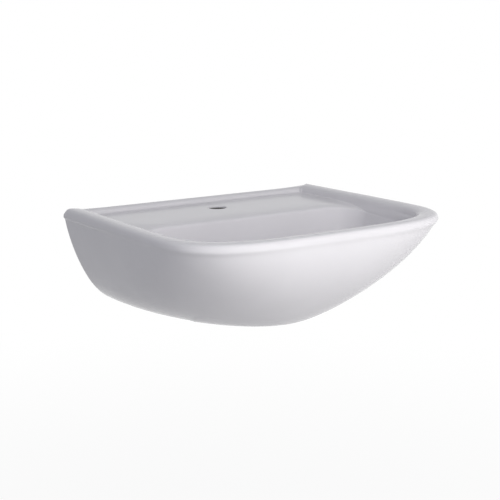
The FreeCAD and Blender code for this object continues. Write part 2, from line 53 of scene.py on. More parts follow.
def ease(share):
    # smooth step from 0 to 1
    share = np.clip(share, 0.0, 1.0)
    return share * share * (3 - 2 * share)


def smoothBelow(mesh, angle):
    # smooth shading, sharp where two faces turn by more than the angle in degrees
    mesh.shade_smooth()
    mesh.set_sharp_from_angle(angle=math.radians(angle))


def makeObject(name, points, faces, material, smooth=softAngle):
    # mesh object from an array of points in millimetres and a list of faces
    mesh = bpy.data.meshes.new(name)
    mesh.from_pydata((np.asarray(points) * mm).tolist(), [], faces)
    mesh.validate()
    mesh.materials.append(material)
    smoothBelow(mesh, smooth)
    obj = bpy.data.objects.new(name, mesh)
    scene.collection.objects.link(obj)
    return obj


def gridFaces(rows, columns, closedRows=False):
    # quads of a grid of points whose columns close on themselves, and its rows too where that is asked
    i, j = np.meshgrid(np.arange(rows if closedRows else rows - 1), np.arange(columns), indexing="ij")
    i2, j2 = (i + 1) % rows, (j + 1) % columns
    quads = np.stack([i * columns + j, i2 * columns + j, i2 * columns + j2, i * columns + j2], axis=-1)
    return quads.reshape(-1, 4).tolist()


def combine(obj, tool, operation="DIFFERENCE"):
    # cut a tool out of a piece, or join it on, and drop the tool
    change = obj.modifiers.new("change", "BOOLEAN")
    change.operation = operation
    change.solver = "MANIFOLD"
    change.material_mode = "TRANSFER"
    change.object = tool
    mesh = bpy.data.meshes.new_from_object(obj.evaluated_get(bpy.context.evaluated_depsgraph_get()))
    obj.modifiers.clear()
    old = obj.data
    obj.data = mesh
    mesh.name = obj.name
    bpy.data.meshes.remove(old)
    smoothBelow(mesh, softAngle)
    bpy.data.objects.remove(tool)
    return obj


def faceOut(obj, smooth=softAngle):
    # merge doubles and point the faces outwards
    work = bmesh.new()
    work.from_mesh(obj.data)
    bmesh.ops.remove_doubles(work, verts=work.verts, dist=0.00001)
    bmesh.ops.recalc_face_normals(work, faces=work.faces)
    work.to_mesh(obj.data)
    work.free()
    smoothBelow(obj.data, smooth)
    return obj


def ringed(name, radius, height, centre, axis, material, smooth=softAngle):
    # closed section carried round an axis: radius of each row at each step of the turn, height of each row
    radius = np.asarray(radius, float)
    rows, sides = radius.shape
    turn = np.linspace(0, 2 * np.pi, sides, endpoint=False)
    u, v, w = frameOf(axis)
    ring = np.cos(turn)[:, None] * u + np.sin(turn)[:, None] * v
    points = np.asarray(centre) + radius[:, :, None] * ring + np.asarray(height, float)[:, None, None] * w
    faces = gridFaces(rows, sides, closedRows=True)
    return faceOut(makeObject(name, points.reshape(-1, 3), faces, material, smooth), smooth)


def turned(name, profile, centre, axis, material, sides=96, smooth=softAngle):
    # closed profile of radius and height carried once round an axis
    profile = np.array(profile, float)
    radius = np.repeat(profile[:, :1], sides, axis=1)
    return ringed(name, radius, profile[:, 1], centre, axis, material, smooth)


def threaded(height, radius, sides, pitch, depth, start, end):
    # radius of a thread: the plain radius less a V groove that climbs one pitch a turn, fading at both ends
    turn = np.linspace(0, 1, sides, endpoint=False)[None, :]
    z = np.asarray(height, float)[:, None]
    groove = np.abs(((z / pitch - turn) % 1.0) - 0.5) * 2
    fade = ease((z - start) / pitch) * ease((end - z) / pitch)
    return np.asarray(radius, float)[:, None] - depth * np.clip(1.3 * groove - 0.15, 0, 1) * fade


def hexRadius(acrossFlats, sides):
    # distance from the middle to the flats of a hexagon, corners on the first step of each sixth
    turn = np.linspace(0, 2 * np.pi, sides, endpoint=False)
    return acrossFlats / 2 / np.cos((turn % (np.pi / 3)) - np.pi / 6)


def frameOf(axis):
    # two directions square to an axis and to each other, then the axis, each of length 1
    w = np.asarray(axis, float)
    w = w / np.linalg.norm(w)
    u = np.cross(w, [0, 0, 1.0]) if abs(w[2]) < 0.9 else np.array([1.0, 0, 0])
    u = u / np.linalg.norm(u)
    return u, np.cross(w, u), w


def roundedCorner(corner, before, after, radius, steps=6):
    # arc that rounds a corner of a profile, as points
    corner, before, after = (np.array(p, float) for p in (corner, before, after))
    a = (before - corner) / np.linalg.norm(before - corner)
    b = (after - corner) / np.linalg.norm(after - corner)
    half = math.acos(np.clip(a @ b, -1, 1)) / 2
    reach = radius / math.tan(half)
    middle = corner + (a + b) / np.linalg.norm(a + b) * radius / math.sin(half)
    start, end = corner + a * reach - middle, corner + b * reach - middle
    share = np.linspace(0, 1, steps)[:, None]
    arc = start * (1 - share) + end * share
    return (middle + arc / np.linalg.norm(arc, axis=1, keepdims=True) * radius).tolist()


def softProfile(points):
    # profile from (radius, height, rounding) corners
    outline = []
    for k, (r, h, rounding) in enumerate(points):
        if rounding:
            outline += roundedCorner((r, h), points[k - 1][:2], points[(k + 1) % len(points)][:2], rounding)
        else:
            outline.append([r, h])
    return outline


def newMaterial(name, **values):
    # a Principled material with its plain values on its own sockets
    material = bpy.data.materials.new(name)
    material.use_nodes = True
    shader = material.node_tree.nodes["Principled BSDF"]
    for key, value in values.items():
        shader.inputs[key].default_value = value
    return material, material.node_tree, shader


def addNode(tree, kind, x=0, y=0, **values):
    # node with its values set on its own properties, or else on its sockets
    node = tree.nodes.new(kind)
    node.location = (x, y)
    for key, value in values.items():
        if hasattr(node, key):
            setattr(node, key, value)
        else:
            node.inputs[key].default_value = value
    return node


def connect(tree, *links):
    # each link goes from a node's named output to a node's named or numbered input
    for source, output, target, socket in links:
        tree.links.new(source.outputs[output], target.inputs[socket])


def groupFrom(name, inputs, outputs):
    # empty node group with named sockets, and its two end nodes
    tree = bpy.data.node_groups.new(name, "ShaderNodeTree")
    for label, value in inputs.items():
        kind = "NodeSocketColor" if isinstance(value, tuple) else "NodeSocketFloat"
        tree.interface.new_socket(label, in_out="INPUT", socket_type=kind).default_value = value
    for label, kind in outputs.items():
        tree.interface.new_socket(label, in_out="OUTPUT", socket_type="NodeSocket" + kind)
    return tree, tree.nodes.new("NodeGroupInput"), tree.nodes.new("NodeGroupOutput")


def softMottle():
    # slow drift between two colours and two roughnesses, as thin and thick places in a coat
    tree, given, out = groupFrom(
        "softMottle", {"Scale": 20.0, "First": (1, 1, 1, 1), "Second": (1, 1, 1, 1), "Low": 0.1, "High": 0.2},
        {"Color": "Color", "Roughness": "Float", "Mask": "Float"})
    place = addNode(tree, "ShaderNodeTexCoord", -900)
    noise = addNode(tree, "ShaderNodeTexNoise", -700, Detail=4.0, Roughness=0.55)
    spread = addNode(tree, "ShaderNodeMapRange", -500, **{"From Min": 0.3, "From Max": 0.7})
    colour = addNode(tree, "ShaderNodeMix", -250, data_type="RGBA")
    rough = addNode(tree, "ShaderNodeMix", -250, -250)
    connect(tree, (place, "Object", noise, "Vector"), (given, "Scale", noise, "Scale"),
            (noise, "Fac", spread, "Value"), (spread, "Result", colour, "Factor"),
            (given, "First", colour, "A"), (given, "Second", colour, "B"),
            (spread, "Result", rough, "Factor"), (given, "Low", rough, "A"), (given, "High", rough, "B"),
            (colour, "Result", out, "Color"), (rough, "Result", out, "Roughness"),
            (spread, "Result", out, "Mask"))
    return tree


def speckles():
    # sparse pinholes and iron specks: 1 near the middle of a chosen share of the cells, 0 elsewhere
    tree, given, out = groupFrom("speckles", {"Scale": 60.0, "Share": 0.1, "Size": 0.03}, {"Mask": "Float"})
    place = addNode(tree, "ShaderNodeTexCoord", -900)
    cells = addNode(tree, "ShaderNodeTexVoronoi", -700)
    chosen = addNode(tree, "ShaderNodeTexWhiteNoise", -500, -200, noise_dimensions="3D")
    near = addNode(tree, "ShaderNodeMath", -300, operation="LESS_THAN")
    picked = addNode(tree, "ShaderNodeMath", -300, -200, operation="LESS_THAN")
    both = addNode(tree, "ShaderNodeMath", -100, operation="MULTIPLY")
    connect(tree, (place, "Object", cells, "Vector"), (given, "Scale", cells, "Scale"),
            (cells, "Distance", near, 0), (given, "Size", near, 1), (cells, "Position", chosen, "Vector"),
            (chosen, "Value", picked, 0), (given, "Share", picked, 1), (near, "Value", both, 0),
            (picked, "Value", both, 1), (both, "Value", out, "Mask"))
    return tree


def fineGrain():
    # height for a bump: a coarse noise mixed towards a fine one by the balance
    tree, given, out = groupFrom("fineGrain", {"Coarse": 40.0, "Fine": 400.0, "Balance": 0.3},
                                 {"Height": "Float"})
    place = addNode(tree, "ShaderNodeTexCoord", -900)
    coarse = addNode(tree, "ShaderNodeTexNoise", -650, Detail=2.0)
    fine = addNode(tree, "ShaderNodeTexNoise", -650, -250, Detail=5.0)
    blend = addNode(tree, "ShaderNodeMix", -350)
    connect(tree, (place, "Object", coarse, "Vector"), (place, "Object", fine, "Vector"),
            (given, "Coarse", coarse, "Scale"), (given, "Fine", fine, "Scale"),
            (given, "Balance", blend, "Factor"), (coarse, "Fac", blend, "A"), (fine, "Fac", blend, "B"),
            (blend, "Result", out, "Height"))
    return tree


groups = {"mottle": softMottle(), "specks": speckles(), "grain": fineGrain()}


def useGroup(tree, name, x, y, **values):
    # one of the shared groups placed in a material, with that material's own values
    node = addNode(tree, "ShaderNodeGroup", x, y, node_tree=groups[name])
    for key, value in values.items():
        node.inputs[key].default_value = value
    return node


def finishWith(name, look, **values):
    # mottled colour and roughness and a grained surface over a Principled base
    material, tree, shader = newMaterial(name, **values)
    (first, second), (low, high) = look["colours"], look["roughness"]
    (coarse, fine, balance), (strength, height) = look["grain"], look["bump"]
    mottle = useGroup(tree, "mottle", -600, 200, Scale=look["mottle"], First=(*first, 1), Second=(*second, 1),
                      Low=low, High=high)
    grain = useGroup(tree, "grain", -600, -200, Coarse=coarse, Fine=fine, Balance=balance)
    bump = addNode(tree, "ShaderNodeBump", -300, -200, Strength=strength, Distance=height * mm)
    coloured, output = mottle, "Color"
    if "speck" in look:
        speck, scale, share, size = look["speck"]
        specks = useGroup(tree, "specks", -600, 500, Scale=scale, Share=share, Size=size)
        coloured, output = addNode(tree, "ShaderNodeMix", -300, 300, data_type="RGBA"), "Result"
        connect(tree, (specks, "Mask", coloured, "Factor"), (mottle, "Color", coloured, "A"))
        coloured.inputs["B"].default_value = (*speck, 1)
    connect(tree, (coloured, output, shader, "Base Color"), (mottle, "Roughness", shader, "Roughness"),
            (grain, "Height", bump, "Height"), (bump, "Normal", shader, "Normal"))
    return material


# colours: thin and thick coat; mottle: scale of their drift; roughness: from and to; grain: coarse and fine
# scale and their balance; bump: strength and height in millimetres; speck: colour, scale, share and size
looks = {
    "glaze": {"colours": ((0.80, 0.785, 0.81), (0.825, 0.81, 0.835)), "mottle": 9.0,
              "roughness": (0.10, 0.16), "grain": (45.0, 260.0, 0.15), "bump": (0.35, 0.10)},
    "sprayedGlaze": {"colours": ((0.74, 0.73, 0.72), (0.80, 0.80, 0.80)), "mottle": 30.0,
                     "roughness": (0.22, 0.45), "grain": (160.0, 900.0, 0.5), "bump": (0.6, 0.3),
                     "speck": ((0.45, 0.40, 0.34), 120.0, 0.10, 0.10)},
    "biscuit": {"colours": ((0.70, 0.66, 0.60), (0.78, 0.75, 0.70)), "mottle": 24.0,
                "roughness": (0.70, 0.90), "grain": (300.0, 1800.0, 0.6), "bump": (0.7, 0.25),
                "speck": ((0.42, 0.36, 0.30), 150.0, 0.15, 0.12)},
    # bore of the tap hole: bare clay whose dark colours are painted shade inside the hole
    "bareBorePaintedShade": {"colours": ((0.13, 0.125, 0.125), (0.20, 0.19, 0.185)), "mottle": 60.0,
                 "roughness": (0.75, 0.90), "grain": (300.0, 1800.0, 0.6), "bump": (0.6, 0.25)},
    "chrome": {"colours": ((0.80, 0.81, 0.83), (0.86, 0.865, 0.88)), "mottle": 60.0,
               "roughness": (0.05, 0.12), "grain": (200.0, 1500.0, 0.3), "bump": (0.08, 0.05)},
    "brass": {"colours": ((0.72, 0.55, 0.26), (0.82, 0.66, 0.36)), "mottle": 90.0,
              "roughness": (0.22, 0.38), "grain": (400.0, 2500.0, 0.6), "bump": (0.25, 0.06)},
    "zinc": {"colours": ((0.60, 0.62, 0.64), (0.74, 0.75, 0.76)), "mottle": 140.0,
             "roughness": (0.28, 0.46), "grain": (500.0, 3000.0, 0.6), "bump": (0.3, 0.06)},
    "springSteel": {"colours": ((0.50, 0.51, 0.53), (0.66, 0.67, 0.68)), "mottle": 200.0,
                    "roughness": (0.25, 0.40), "grain": (800.0, 4000.0, 0.5), "bump": (0.2, 0.03)},
    "rubber": {"colours": ((0.018, 0.018, 0.019), (0.040, 0.040, 0.042)), "mottle": 80.0,
               "roughness": (0.55, 0.75), "grain": (500.0, 2600.0, 0.6), "bump": (0.5, 0.10)},
    "nylon": {"colours": ((0.72, 0.72, 0.70), (0.80, 0.80, 0.78)), "mottle": 70.0,
              "roughness": (0.38, 0.52), "grain": (350.0, 2200.0, 0.5), "bump": (0.25, 0.08)},
}
plainValues = {
    "glaze": {"IOR": 1.47, "Specular IOR Level": 0.10},
    "sprayedGlaze": {"Coat Weight": 0.4, "Coat Roughness": 0.2},
    "nylon": {"Subsurface Weight": 0.05, "Subsurface Scale": 0.002},
}
for name in ("chrome", "brass", "zinc", "springSteel"):
    plainValues[name] = {"Metallic": 1.0}
materials = {name: finishWith(name, look, **plainValues.get(name, {})) for name, look in looks.items()}
print("materials made:", len(materials))


basin = {
    "width": 560.0, "reach": 470.0, "height": 187.0, "crest": 80.0, "beyondWall": 30.0,
    "sideDrawIn": 104.0, "sidePowers": (1.35, 1.75), "frontDrawIn": 145.0, "frontPowers": (1.89, 1.15),
    "rimPower": 3.55, "footPower": 2.06, "widestDrop": 12.0, "wallNarrowing": 3.0, "straightSide": 290.0,
    "rimWidth": 35.0, "crestInset": 11.0, "ridgeDrop": 6.0, "ridge": 24.0, "corner": 12.0,
    "underRimStep": 2.0, "deckDrop": 14.4, "deckThickness": 11.0, "deckReach": 190.0, "rearEdge": 9.0,
    "tapReach": 86.0, "tapHole": 17.5, "tapLip": 2.2, "tapLand": 1.0, "tapStep": 0.02,
    "bowlDepth": 132.0, "bowlCorner": 56.0, "bowlStep": 1.0, "bowlLean": 4.0, "wasteReach": 262.0,
    "dish": 34.0, "dishDepth": 3.0, "seat": 32.0, "wasteBore": 23.0, "outlet": 28.0, "boss": 44.0,
    "shell": 8.5, "bowlWall": 9.0, "backWall": 14.0, "foot": 12.0, "cavityDrop": 51.0, "cavityDepth": 0.22,
    "overflowDrop": 44.0, "overflowHole": 11.0, "overflowWall": 8.0, "overflowGap": 8.0,
    "overflowWidth": 32.0, "overflowOuter": 11.0, "overflowOutlet": 11.0,
    "window": (150.0, 78.0, 18.0), "fixingHole": 9.5, "studSpacing": 280.0,
    "poles": {"rear": 6, "corner": 3, "deck": 6, "front": 15},
    "fold": {"up": (0, 18, 34, 55, 73), "line": (215, 257, 301, 342, 372), "height": 46.0, "shift": 3.6,
             "width": 12.0, "clear": 70.0},
}
footZ = basin["crest"] - basin["height"]
deckZ = basin["crest"] - basin["deckDrop"]
seatZ = basin["crest"] - basin["bowlDepth"] - basin["dishDepth"]
bowlInset = basin["rimWidth"] + basin["bowlStep"] + basin["bowlLean"]
wasteCentre = np.array([0.0, -basin["wasteReach"], 0.0])
upward, outward = (0, 0, 1), (0, -1, 0)

# share of the way out from the dish at the back and the front, depth at the back and the front
bowlSection = np.array([
    (1.00, 0.990, 0.075, 0.200), (0.985, 0.955, 0.190, 0.290), (0.965, 0.905, 0.340, 0.400),
    (0.930, 0.835, 0.500, 0.530), (0.870, 0.735, 0.650, 0.665), (0.770, 0.615, 0.785, 0.790),
    (0.610, 0.480, 0.885, 0.885), (0.420, 0.345, 0.945, 0.945), (0.220, 0.190, 0.980, 0.980),
    (0.070, 0.060, 0.997, 0.997),
])


def frontCurve(halfWidth, reach, straight, power, steps=160):
    # superellipse quarter in front of straight sides, from the side to the middle of the front
    turn = np.linspace(0, np.pi / 2, steps + 1)
    size = (np.cos(turn) ** power + np.sin(turn) ** power) ** (-1 / power)
    return halfWidth * np.cos(turn) * size, -straight - (reach - straight) * np.sin(turn) * size


def sideAt(curve, y):
    # half width of a curve at a place along the reach
    return np.interp(-np.asarray(y), -curve[1], curve[0])


def evenly(x, y, count):
    # points at even distances along a line, without its first one
    length = np.concatenate([[0], np.cumsum(np.hypot(np.diff(x), np.diff(y)))])
    wanted = length[-1] * np.arange(1, count + 1) / count
    return np.stack([np.interp(wanted, length, x), np.interp(wanted, length, y)], axis=1)


def cornerArc(cx, cy, radius):
    # quarter circle from the back to the side, at the middles of even steps
    count = basin["poles"]["corner"]
    turn = np.pi / 2 * (1 - (np.arange(count) + 0.5) / count)
    return np.stack([cx + radius * np.cos(turn), cy + radius * np.sin(turn)], axis=1)


def frontStretch(curve, fromY):
    # the part of a curve ahead of a place, as evenly spaced points
    ahead = curve[1] < fromY
    x = np.concatenate([[sideAt(curve, fromY)], curve[0][ahead]])
    y = np.concatenate([[fromY], curve[1][ahead]])
    return np.vstack([[[x[0], y[0]]], evenly(x, y, basin["poles"]["front"])])


def shellRing(halfWidth, reach, straight, power, rearY, corner):
    # half outline that runs back to rearY beside the deck
    curve = frontCurve(halfWidth, reach, straight, power)
    narrowing = basin["wallNarrowing"] * straight / basin["straightSide"]
    flat = sideAt(curve, min(rearY, 0.0)) - narrowing - corner
    rear, deck = basin["poles"]["rear"], basin["poles"]["deck"]
    behind = np.stack([flat * np.arange(rear) / rear, np.full(rear, rearY)], axis=1)
    y = mix(min(rearY, 0.0) - corner, -basin["deckReach"], np.arange(deck) / deck)
    inward = narrowing * np.maximum(0, 1 + y / basin["straightSide"])
    beside = np.stack([sideAt(curve, y) - inward, y], axis=1)
    return np.vstack([behind, cornerArc(flat, rearY - corner, corner), beside,
                      frontStretch(curve, -basin["deckReach"])])


def bowlRing(halfWidth, reach, straight, power, rearY, corner):
    # half outline that crosses behind the bowl
    curve = frontCurve(halfWidth, reach, straight, power)
    side = float(sideAt(curve, rearY - corner))
    count = basin["poles"]["rear"] + basin["poles"]["deck"]
    behind = np.stack([(side - corner) * np.arange(count) / count, np.full(count, rearY)], axis=1)
    return np.vstack([behind, cornerArc(side - corner, rearY - corner, corner),
                      frontStretch(curve, rearY - corner)])


def mirrored(half):
    # a half ring's points, then its other half back to the start
    other = half[-2:0:-1].copy()
    if half.ndim > 1:
        other[:, 0] *= -1
    return np.concatenate([half, other])


def rearness(past, width, before):
    # 1 along the back of a half ring, falling to 0 past a given pole
    i = np.arange(sum(basin["poles"].values()) + 1)
    return 1 - ease((i - past + before) / (basin["poles"]["corner"] + width))


def level(half, drop, rearDrop=None, share=None):
    # whole ring at one drop below the crest, with its own drop along the back where that is given
    poles = basin["poles"]
    if share is None:
        share = rearness(poles["rear"] + poles["deck"], 2.0, 1.0)
    z = basin["crest"] - mix(drop, drop if rearDrop is None else rearDrop, share)
    return np.column_stack([mirrored(half), mirrored(z)])


def shellOutline(depth, inset, rearY, corner):
    # outline of the outer shell, depth 0 at its widest and 1 at the foot; the sides and the front draw in
    # along a superellipse quarter each: 1 less the root of 1 less a power of the depth
    (sidePower, sideRoot), (frontPower, frontRoot) = basin["sidePowers"], basin["frontPowers"]
    side = basin["sideDrawIn"] * (1 - (1 - depth ** sidePower) ** (1 / sideRoot))
    front = basin["frontDrawIn"] * (1 - (1 - depth ** frontPower) ** (1 / frontRoot))
    power = mix(basin["rimPower"], basin["footPower"], depth)
    return shellRing(basin["width"] / 2 - side - inset, basin["reach"] - front - inset,
                     basin["straightSide"] * (1 - depth), power, rearY, corner)


def rimOutline(inset, rearY, corner):
    # outline of the rim, moved in all round
    return shellRing(basin["width"] / 2 - inset, basin["reach"] - inset, basin["straightSide"],
                     basin["rimPower"], rearY, corner)


def bowlEdge(inset, rearY, corner):
    # the rim's outline, closed behind the bowl
    return bowlRing(basin["width"] / 2 - inset, basin["reach"] - inset, basin["straightSide"],
                    basin["rimPower"], rearY, corner)


def outerRings():
    # outlines from the foot up to the rim; the step under the rim eases in from nothing at the foot
    rings = []
    for depth in (1.0, 0.99, 0.95, 0.88, 0.78, 0.66, 0.53, 0.40, 0.28, 0.17, 0.09, 0.045):
        step = basin["underRimStep"] * ease((1 - depth) / 0.3)
        outline = shellOutline(depth, step, basin["beyondWall"], basin["corner"])
        rings.append(level(outline, mix(basin["widestDrop"], basin["height"], depth)))
    return rings


def rimRings():
    # over the rim from the outside to the deck: inset, drop, reach at the wall, drop at the wall
    crest, inner, ridge, top = basin["crestInset"], basin["rimWidth"], basin["ridge"], basin["ridgeDrop"]
    section = [
        (0.0, 14.5, -basin["beyondWall"], top + 13),
        (0.0, 9.5, -8.0, top + 8),
        (0.8, 4.2, 0.5, top + 4.2),
        (0.45 * crest, 0.5, 0.22 * ridge, top - 0.3),
        (crest, -0.1, 0.5 * ridge, top - 0.8),
        (mix(crest, inner, 0.40), 0.3, 0.78 * ridge, top + 0.7),
        (mix(crest, inner, 0.68), 1.5, 0.92 * ridge, top + 3.4),
        (mix(crest, inner, 0.90), 4.6, 1.01 * ridge, top + 6.6),
        (inner - 0.2, 10.0, 1.12 * ridge, basin["deckDrop"] - 0.4),
        (inner + 0.6, 14.0, 1.32 * ridge, basin["deckDrop"]),
    ]
    atWall = rearness(basin["poles"]["rear"], 1.0, 1.5)
    rings = []
    for inset, drop, reach, rearDrop in section:
        outline = rimOutline(inset, -reach, max(basin["corner"] - 0.35 * inset, 8.0))
        rings.append(level(outline, drop, rearDrop, atWall if drop < 9 else None))
    return rings


def deckRings(start, end, drops, rearDrop):
    # flat at the back, running on down the wall of the bowl at the sides and the front
    return [level(mix(start, end, (i + 0.5) / len(drops)), drop, rearDrop) for i, drop in enumerate(drops)]


def dishCircle(edge, radius):
    # circle round the waste, each point in the direction of the edge's own point
    turn = np.arctan2(edge[:, 1] + basin["wasteReach"], edge[:, 0])
    return np.stack([radius * np.cos(turn), radius * np.sin(turn) - basin["wasteReach"]], axis=1)


def bowlRings(edge):
    # wall and floor of the bowl, steep at the back and sloping at the front
    circle = dishCircle(edge, basin["dish"])
    length = basin["reach"] - basin["rimWidth"] - basin["deckReach"]
    front = ease((-edge[:, 1] - basin["deckReach"]) / length)
    rings = []
    for rearOut, frontOut, rearDepth, frontDepth in bowlSection:
        out = mix(rearOut, frontOut, front)[:, None]
        drop = mix(basin["deckDrop"], basin["bowlDepth"], mix(rearDepth, frontDepth, front))
        rings.append(np.column_stack([mirrored(mix(circle, edge, out)), mirrored(basin["crest"] - drop)]))
    return rings


def movedIn(rings, thickness):
    # rings moved square to the skin, into the ceramic; the first and the last are left out
    net = np.array(rings)
    around = np.roll(net, -1, axis=1) - np.roll(net, 1, axis=1)
    square = np.cross(around[1:-1], net[2:] - net[:-2])
    return list(net[1:-1] + square / np.linalg.norm(square, axis=2, keepdims=True) * thickness)


def clampedWeights(count, perSpan):
    # cubic spline weights of each pole, ends held, at even steps along an open row of poles
    knots = np.concatenate([[0] * 3, np.arange(count - 2), [count - 3] * 3]).astype(float)
    at = np.linspace(0, count - 3, (count - 3) * perSpan + 1)
    at[-1] -= 1e-9
    weights = ((knots[:-1] <= at[:, None]) & (at[:, None] < knots[1:])).astype(float)
    for degree in (1, 2, 3):
        left, right = knots[degree:-1] - knots[:-degree - 1], knots[degree + 1:] - knots[1:-degree]
        rise = (at[:, None] - knots[:-degree - 1]) / np.where(left > 0, left, np.inf)
        fall = (knots[degree + 1:] - at[:, None]) / np.where(right > 0, right, np.inf)
        weights = rise * weights[:, :-1] + fall * weights[:, 1:]
    return weights


def roundWeights(count, perSpan):
    # cubic spline weights of each pole on a closed ring, at even steps
    t = np.linspace(0, 1, perSpan, endpoint=False)
    four = np.stack([(1 - t) ** 3, 3 * t ** 3 - 6 * t ** 2 + 4, -3 * t ** 3 + 3 * t ** 2 + 3 * t + 1,
                     t ** 3]) / 6
    weights = np.zeros((count * perSpan, count))
    for span in range(count):
        for k in range(4):
            weights[span * perSpan:(span + 1) * perSpan, (span + k - 1) % count] = four[k]
    return weights


def solidFromRings(name, rings, material, perSpan):
    # closed solid: a cubic spline surface through the rings' points round, with a flat cap at each end
    net = np.array(rings)
    net = net * 4 / 3 - (np.roll(net, 1, axis=1) + np.roll(net, -1, axis=1)) / 6
    along, around = clampedWeights(len(net), perSpan[0]), roundWeights(net.shape[1], perSpan[1])
    points = np.einsum("av,vic,bi->abc", along, net, around)
    rows, columns = points.shape[:2]
    faces = gridFaces(rows, columns)
    faces += [list(range(columns)), list(range(rows * columns - 1, (rows - 1) * columns - 1, -1))]
    return makeObject(name, points.reshape(-1, 3), faces, material, 60)


def foldChin(obj):
    # the sides roll further under than the chin: the inward shift falls to 0 up the side and ahead of a line
    flat = np.empty(len(obj.data.vertices) * 3)
    obj.data.vertices.foreach_get("co", flat)
    p = flat.reshape(-1, 3) / mm
    f = basin["fold"]
    up = p[:, 2] - footZ
    line = np.interp(up, f["up"], f["line"])
    shift = f["shift"] * ease(1 - up / f["height"]) * ease((line + p[:, 1]) / f["width"] + 0.5)
    outside = np.abs(p[:, 0]) > f["clear"]
    p[:, 0] -= np.sign(p[:, 0]) * shift * outside
    obj.data.vertices.foreach_set("co", (p * mm).ravel())
    return obj


def boxTool(name, low, high, material):
    # plain block between two corners
    x, y, z = zip(low, high)
    points = [(a, b, c) for a in x for b in y for c in z]
    faces = [(0, 1, 3, 2), (4, 6, 7, 5), (0, 4, 5, 1), (2, 3, 7, 6), (0, 2, 6, 4), (1, 5, 7, 3)]
    return makeObject(name, points, faces, material)


def rodTool(name, start, axis, radius, length, material, sides=96):
    # plain rod along an axis
    return turned(name, [(0, 0), (radius, 0), (radius, length), (0, length)], start, axis, material, sides)


def glazedRings():
    # the whole visible skin in one run: foot, shell, rim, deck, bowl and the seat of the waste
    edge = bowlEdge(bowlInset, -basin["deckReach"], basin["bowlCorner"])
    start = rimOutline(basin["rimWidth"] + basin["bowlStep"], -1.6 * basin["ridge"], 14.0)
    end = bowlEdge(bowlInset, basin["rearEdge"] - basin["deckReach"], basin["bowlCorner"])
    rings = outerRings() + rimRings() + deckRings(start, end, (16.0, 18.5, 21.0, 24.0), basin["deckDrop"])
    rings.append(level(edge, 28.0, basin["deckDrop"] + 2.4))
    rings += bowlRings(edge)
    for radius, drop in ((basin["dish"], 0.3), (basin["dish"] - 0.6, 0.5 * basin["dishDepth"]),
                         (basin["seat"], basin["dishDepth"]), (basin["seat"] - 2, basin["dishDepth"])):
        rings.append(level(dishCircle(edge, radius), basin["bowlDepth"] + drop))
    return rings


def cavityRings():
    # the hollow in one run: foot, inside of the shell, under the deck, behind the bowl and round the waste
    foot, shell, drop = basin["foot"], basin["shell"], basin["cavityDrop"]
    beyond, corner = basin["beyondWall"], basin["corner"]
    rings = []
    for inset, rise in ((foot, -20.0), (foot, -8.0), (foot, 3.0), (0.5 * foot, 9.0)):
        rings.append(level(shellOutline(1.0, inset, beyond, corner), basin["height"] - rise))
    rings += movedIn(outerRings()[1:-1], shell)[1:-1]
    under = basin["deckDrop"] + basin["deckThickness"]
    depth = basin["cavityDepth"]
    rings.append(level(shellOutline(depth, shell + 3, beyond - 4, corner), drop + 3, under + 4))
    start = shellOutline(depth, shell + 5, -basin["backWall"], corner)
    end = bowlEdge(basin["rimWidth"] - basin["bowlWall"], basin["bowlWall"] + 8 - basin["deckReach"],
                   basin["bowlCorner"] + basin["bowlWall"])
    rings += deckRings(start, end, (drop, drop - 1, drop - 1, drop), under)
    edge = bowlEdge(bowlInset, -basin["deckReach"], basin["bowlCorner"])
    rings += movedIn(bowlRings(edge)[:-1], basin["bowlWall"])[:-1]
    outlet, boss = basin["dishDepth"] + basin["outlet"], basin["boss"]
    for radius, below in ((boss + 2, 0.5 * outlet), (boss + 0.5, 0.7 * outlet), (boss, outlet - 1.5),
                          (boss - 2, outlet), (boss - 6, outlet)):
        rings.append(level(dishCircle(edge, radius), basin["bowlDepth"] + below))
    return rings


def splineThrough(points, steps=12):
    # smooth line through points: a Catmull-Rom curve, evaluated as arrays
    p = np.array(points, float)
    p = np.vstack([2 * p[0] - p[1], p, 2 * p[-1] - p[-2]])
    t = np.linspace(0, 1, steps, endpoint=False)[None, :, None]
    a, b, c, d = (p[k:len(p) - 3 + k][:, None, :] for k in range(4))
    line = 0.5 * (2 * b + (c - a) * t + (2 * a - 5 * b + 4 * c - d) * t ** 2
                  + (3 * b - a - 3 * c + d) * t ** 3)
    return np.vstack([line.reshape(-1, p.shape[1]), p[-2:-1]])


def prism(name, loop, axes, ends, material):
    # closed outline carried straight between two ends; the loop's columns lie along the two axes given
    n = len(loop)
    points = np.zeros((2, n, 3))
    points[:, :, list(axes)] = loop
    points[:, :, 3 - sum(axes)] = np.array(ends)[:, None]
    faces = gridFaces(2, n) + [list(range(n)), list(range(2 * n - 1, n - 1, -1))]
    return faceOut(makeObject(name, points.reshape(-1, 3), faces, material))


def overflowBand(name, near, far, topZ, endReach, endTop, endBottom, width, material):
    # flat duct that follows the bowl's front wall between two offsets
    front = basin["reach"] - bowlInset
    part = bowlSection[:8]
    reach = mix(basin["wasteReach"] + basin["dish"], front, part[:, 1])
    wall = np.stack([reach, basin["crest"] - mix(basin["deckDrop"], basin["bowlDepth"], part[:, 3])], axis=1)
    ends = np.vstack([wall[:1], wall, wall[-1:]])
    run = ends[:-2] - ends[2:]
    out = np.stack([run[:, 1], -run[:, 0]], axis=1) / np.linalg.norm(run, axis=1, keepdims=True)
    edges = []
    for gap, endZ in ((near, endTop), (far, endBottom)):
        line = wall + gap * out
        rise = (topZ - line[0, 1]) / (line[0, 1] - line[1, 1])
        line = np.vstack([[line[0] + (line[0] - line[1]) * rise], line, [[endReach, endZ]]])
        edges.append(splineThrough(line))
    loop = np.vstack([edges[0], edges[1][::-1]]) * [-1, 1]
    return prism(name, loop, (1, 2), (-width / 2, width / 2), material)


